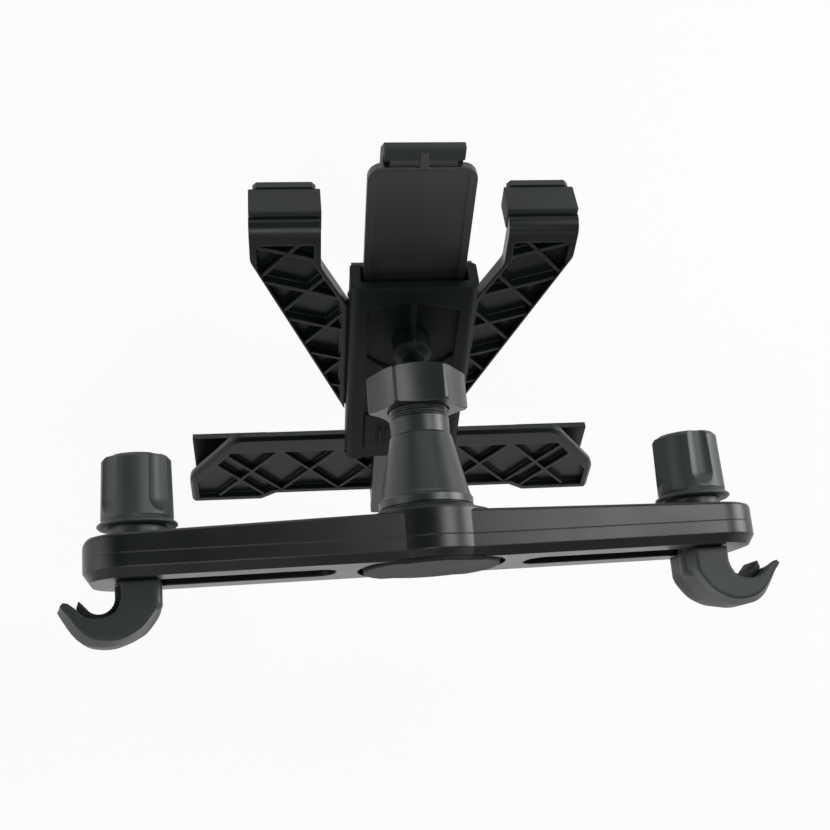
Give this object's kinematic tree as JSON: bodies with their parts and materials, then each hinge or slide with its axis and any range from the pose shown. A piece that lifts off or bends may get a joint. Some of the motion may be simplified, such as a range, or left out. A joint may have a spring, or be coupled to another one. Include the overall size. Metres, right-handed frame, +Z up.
{
  "type": "headrest tablet mount",
  "caption": "Car headrest tablet holder: a bar with rod hooks and knobs, a post with a ball joint, and a tilting holder with forked arms, a pull-out top claw and a wide foot.",
  "frame": {"origin": "centre of the round flat face on the back of the bar's hub", "axes": "+X along the bar, +Y away from the tablet toward the headrest rods, +Z up along the rods"},
  "size_m": [0.2138, 0.1381, 0.1675],
  "materials": {
    "black_plastic": "satin black moulded plastic",
    "grey_rubber": "matt dark grey rubber",
    "steel": "zinc plated steel",
    "cup_plastic": "plain nylon"
  },
  "bodies": {
    "bar": {"bar_front_shell": "black_plastic", "bar_rear_shell": "black_plastic", "hub_cap": "black_plastic", "post": "black_plastic", "post_screw": "steel", "shell_screws": "steel"},
    "nut": {"ring_nut": "black_plastic"},
    "cup": {"ball_seat": "cup_plastic"},
    "ball": {"ball_stud": "black_plastic", "stud_screw": "steel"},
    "holder": {"casing": "black_plastic", "front_frame": "black_plastic", "frame_screws": "steel", "claw_pad_left": "grey_rubber", "claw_pad_right": "grey_rubber"},
    "top_slider": {"slider": "black_plastic", "slider_pad": "grey_rubber"},
    "foot": {"foot_stem": "black_plastic", "foot_bar": "black_plastic", "foot_screws": "steel"},
    "carriage_left": {"washer_left": "black_plastic"},
    "knob_body_left": {"knob_left": "black_plastic"},
    "hook_body_left": {"hook_left": "black_plastic", "hook_pad_left": "grey_rubber", "bolt_left": "steel"},
    "carriage_right": {"washer_right": "black_plastic"},
    "knob_body_right": {"knob_right": "black_plastic"},
    "hook_body_right": {"hook_right": "black_plastic", "hook_pad_right": "grey_rubber", "bolt_right": "steel"}
  },
  "joints": [
    {"name": "nut_turn", "type": "hinge", "parent": "bar", "child": "nut", "pos_m": [0, -0.0583, 0], "axis": [0, -1, 0], "range_deg": [0, 360]},
    {"name": "ball_pan", "type": "hinge", "parent": "bar", "child": "cup", "pos_m": [0, -0.0583, 0], "axis": [0, 0, 1], "range_deg": [-12, 18]},
    {"name": "ball_tilt", "type": "hinge", "parent": "cup", "child": "ball", "pos_m": [0, -0.0583, 0], "axis": [0.9986, -0.0523, 0], "range_deg": [-52.3, 3.7]},
    {"name": "holder_spin", "type": "hinge", "parent": "ball", "child": "holder", "pos_m": [0, -0.0583, 0], "axis": [-0.0477, -0.9102, -0.4115], "continuous": true},
    {"name": "slider_pull", "type": "slide", "parent": "holder", "child": "top_slider", "axis": [0.0499, -0.4136, 0.9091], "range_m": [-0.027, 0.012]},
    {"name": "foot_pull", "type": "slide", "parent": "holder", "child": "foot", "axis": [-0.0499, 0.4136, -0.9091], "range_m": [0, 0.03]},
    {"name": "clamp_slide_left", "type": "slide", "parent": "bar", "child": "carriage_left", "axis": [1, 0, 0], "range_m": [0, 0.05]},
    {"name": "knob_turn_left", "type": "hinge", "parent": "carriage_left", "child": "knob_body_left", "pos_m": [-0.085, -0.02, 0], "axis": [0, -1, 0], "range_deg": [0, 1620]},
    {"name": "hook_draw_left", "type": "slide", "parent": "carriage_left", "child": "hook_body_left", "axis": [0, 1, 0], "range_m": [0, 0.0045]},
    {"name": "clamp_slide_right", "type": "slide", "parent": "bar", "child": "carriage_right", "axis": [-1, 0, 0], "range_m": [0, 0.05]},
    {"name": "knob_turn_right", "type": "hinge", "parent": "carriage_right", "child": "knob_body_right", "pos_m": [0.085, -0.02, 0], "axis": [0, -1, 0], "range_deg": [0, 1620]},
    {"name": "hook_draw_right", "type": "slide", "parent": "carriage_right", "child": "hook_body_right", "axis": [0, 1, 0], "range_m": [0, 0.0045]}
  ],
  "couplings": [
    {"joint": "knob_turn_left", "follows": "hook_draw_left", "rad_per_m": 6283.2},
    {"joint": "knob_turn_right", "follows": "hook_draw_right", "rad_per_m": 6283.2}
  ]
}
